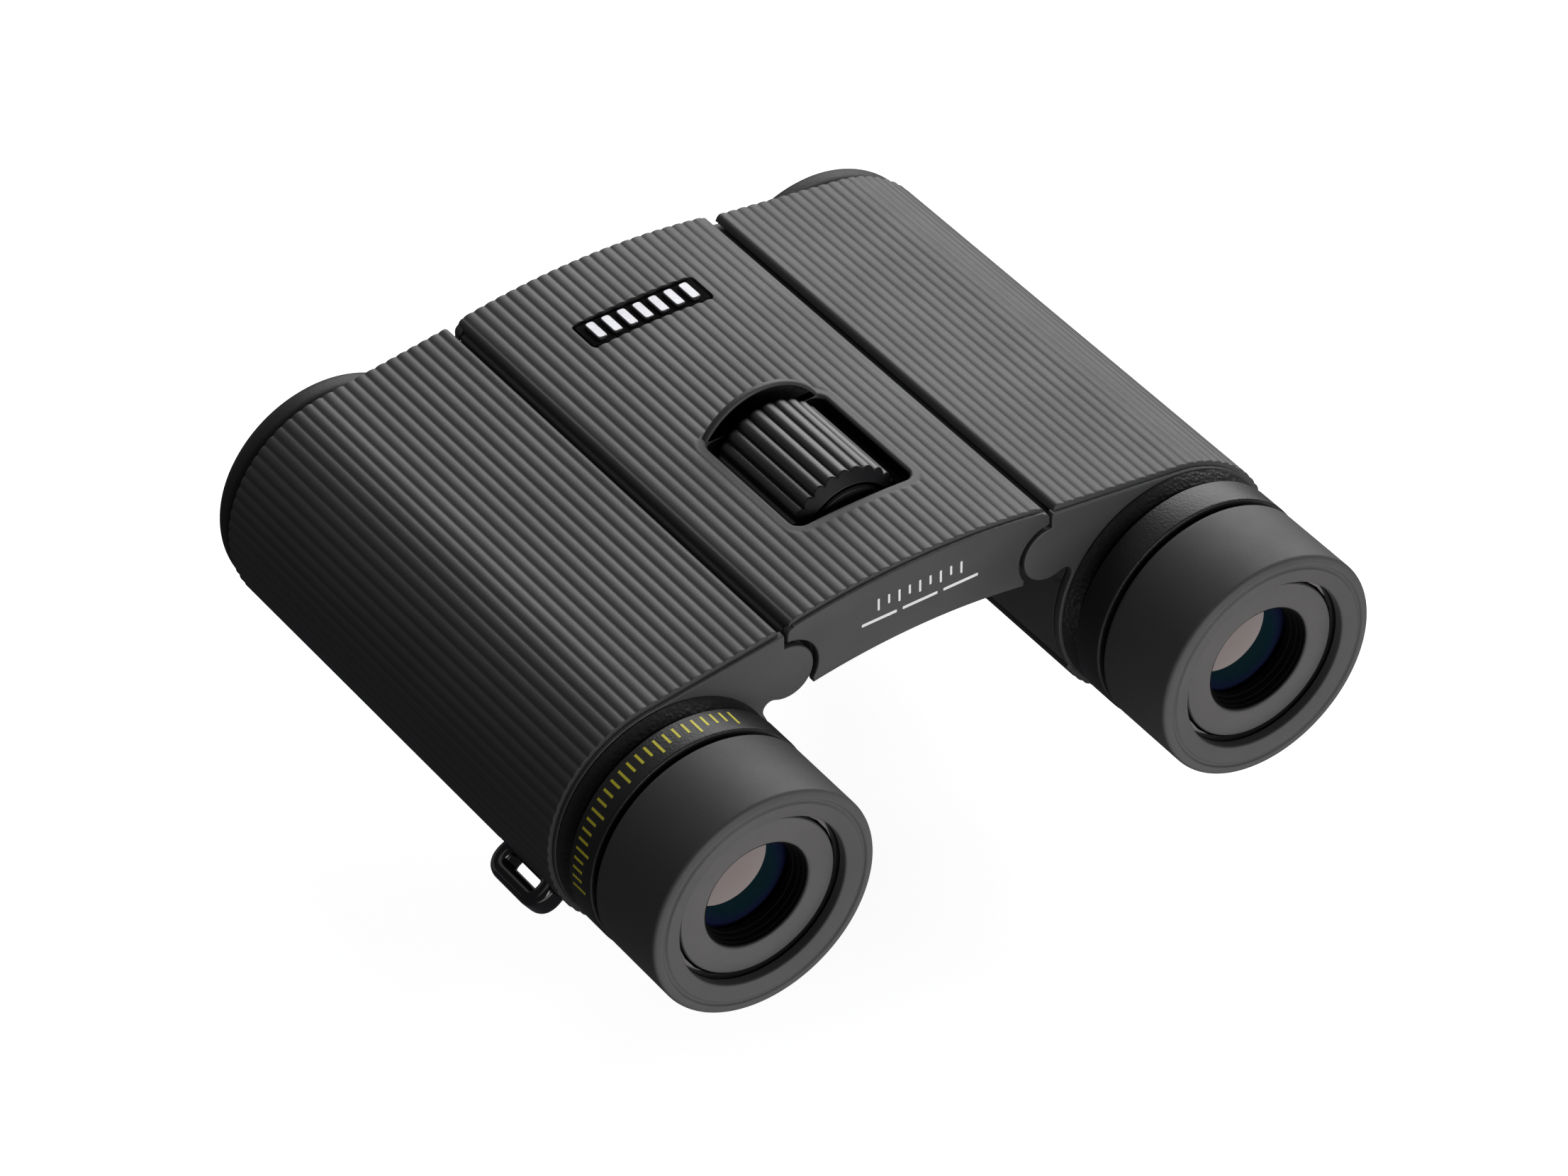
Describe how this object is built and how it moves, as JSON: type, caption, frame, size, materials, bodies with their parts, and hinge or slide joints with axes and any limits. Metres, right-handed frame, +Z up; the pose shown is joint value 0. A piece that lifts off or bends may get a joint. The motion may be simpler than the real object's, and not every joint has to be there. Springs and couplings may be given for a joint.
{
  "type": "compact binoculars",
  "caption": "Compact double-hinge roof-prism binoculars with ribbed rubber armour, twist-up eyecups, a central focusing wheel and strap lugs.",
  "frame": {"origin": "middle of the bounding box in X and Y, on the surface that the barrels lie on", "axes": "+X from the left barrel to the right one, +Y from the eyepieces to the objectives along the optical axes, +Z up"},
  "size_m": [0.115, 0.103, 0.0441],
  "materials": {
    "armour_rubber": "matte, fine grained, ribbed",
    "cup_rubber": "smooth matte",
    "grip_rubber": "satin",
    "housing_plastic": "fine grained, matte",
    "gloss_black_plastic": "glossy",
    "black_aluminium": "black anodised, satin",
    "steel": "ground",
    "brass": "machined",
    "coated_glass": "polished, coated",
    "prism_glass": "polished"
  },
  "bodies": {
    "bridge": {"bridge_housing": "housing_plastic", "bridge_armour": "armour_rubber", "bridge_bottom_cover": "housing_plastic", "bridge_ocular_plate": "housing_plastic", "bridge_objective_plate": "housing_plastic", "badge_plate": "gloss_black_plastic", "wheel_hood": "armour_rubber", "left_rear_hinge_pin": "steel", "right_rear_hinge_pin": "steel", "left_front_hinge_pin": "steel", "right_front_hinge_pin": "steel", "rear_shaft_bush": "brass", "front_shaft_bush": "brass"},
    "focus_wheel": {"focus_wheel_grip": "grip_rubber", "focus_wheel_hub": "gloss_black_plastic", "focus_lead_screw": "steel"},
    "focus_yoke": {"focus_yoke": "brass", "left_transfer_rod": "steel", "right_transfer_rod": "steel"},
    "left_barrel": {"left_barrel_housing": "housing_plastic", "left_barrel_armour": "armour_rubber", "left_end_plate": "housing_plastic", "left_strap_lug": "gloss_black_plastic", "left_objective_cell": "black_aluminium", "left_objective_lens": "coated_glass", "left_objective_rim": "armour_rubber", "left_prism_holder": "black_aluminium", "left_half_penta_prism": "prism_glass", "left_roof_prism": "prism_glass", "left_collar": "housing_plastic", "left_ocular_tube": "black_aluminium", "left_name_ring": "housing_plastic", "left_eye_lens_cell": "black_aluminium", "left_eye_lens": "coated_glass", "left_field_lens": "coated_glass"},
    "left_focus_cell": {"left_focus_cell": "black_aluminium", "left_focus_lens": "coated_glass"},
    "left_eyecup_slider": {"left_eyecup_sleeve": "gloss_black_plastic"},
    "left_eyecup": {"left_eyecup": "cup_rubber"},
    "right_barrel": {"right_barrel_housing": "housing_plastic", "right_barrel_armour": "armour_rubber", "right_end_plate": "housing_plastic", "right_strap_lug": "gloss_black_plastic", "right_objective_cell": "black_aluminium", "right_objective_lens": "coated_glass", "right_objective_rim": "armour_rubber", "right_prism_holder": "black_aluminium", "right_half_penta_prism": "prism_glass", "right_roof_prism": "prism_glass", "right_collar": "housing_plastic", "right_ocular_tube": "black_aluminium"},
    "right_focus_cell": {"right_focus_cell": "black_aluminium", "right_focus_lens": "coated_glass"},
    "right_eyecup_slider": {"right_eyecup_sleeve": "gloss_black_plastic"},
    "right_eyecup": {"right_eyecup": "cup_rubber"},
    "diopter_ring": {"right_diopter_ring": "housing_plastic"},
    "right_ocular_cell": {"right_eye_lens_cell": "black_aluminium", "right_eye_lens": "coated_glass", "right_field_lens": "coated_glass"}
  },
  "joints": [
    {"name": "left_fold", "type": "hinge", "parent": "bridge", "child": "left_barrel", "pos_m": [-0.0204, 0, 0.03015], "axis": [0, -1, 0], "range_deg": [0, 62]},
    {"name": "right_fold", "type": "hinge", "parent": "bridge", "child": "right_barrel", "pos_m": [0.0204, 0, 0.03015], "axis": [0, 1, 0], "range_deg": [0, 62]},
    {"name": "focus_turn", "type": "hinge", "parent": "bridge", "child": "focus_wheel", "pos_m": [0, 0, 0.0334], "axis": [0, 1, 0], "range_deg": [-270, 270]},
    {"name": "focus_slide", "type": "slide", "parent": "bridge", "child": "focus_yoke", "axis": [0, 1, 0], "range_m": [-0.00188, 0.00188]},
    {"name": "left_focus_slide", "type": "slide", "parent": "left_barrel", "child": "left_focus_cell", "axis": [0, 1, 0], "range_m": [-0.002, 0.002]},
    {"name": "left_eyecup_slide", "type": "slide", "parent": "left_barrel", "child": "left_eyecup_slider", "axis": [0, -1, 0], "range_m": [0, 0.007]},
    {"name": "left_eyecup_turn", "type": "hinge", "parent": "left_eyecup_slider", "child": "left_eyecup", "pos_m": [-0.039, 0, 0.0173], "axis": [0, 1, 0], "range_deg": [0, 125]},
    {"name": "right_focus_slide", "type": "slide", "parent": "right_barrel", "child": "right_focus_cell", "axis": [0, 1, 0], "range_m": [-0.002, 0.002]},
    {"name": "right_eyecup_slide", "type": "slide", "parent": "right_barrel", "child": "right_eyecup_slider", "axis": [0, -1, 0], "range_m": [0, 0.007]},
    {"name": "right_eyecup_turn", "type": "hinge", "parent": "right_eyecup_slider", "child": "right_eyecup", "pos_m": [0.039, 0, 0.0173], "axis": [0, 1, 0], "range_deg": [0, 125]},
    {"name": "diopter_turn", "type": "hinge", "parent": "right_barrel", "child": "diopter_ring", "pos_m": [0.039, 0, 0.0173], "axis": [0, 1, 0], "range_deg": [-60, 60]},
    {"name": "right_ocular_slide", "type": "slide", "parent": "right_barrel", "child": "right_ocular_cell", "axis": [0, 1, 0], "range_m": [-0.0008, 0.0008]}
  ],
  "couplings": [
    {"joint": "focus_turn", "follows": "focus_slide", "rad_per_m": 2500},
    {"joint": "left_focus_slide", "follows": "focus_slide", "ratio": 1},
    {"joint": "left_eyecup_turn", "follows": "left_eyecup_slide", "rad_per_m": 299.2},
    {"joint": "right_focus_slide", "follows": "focus_slide", "ratio": 1},
    {"joint": "right_eyecup_turn", "follows": "right_eyecup_slide", "rad_per_m": 299.2},
    {"joint": "diopter_turn", "follows": "right_ocular_slide", "rad_per_m": 1250}
  ]
}
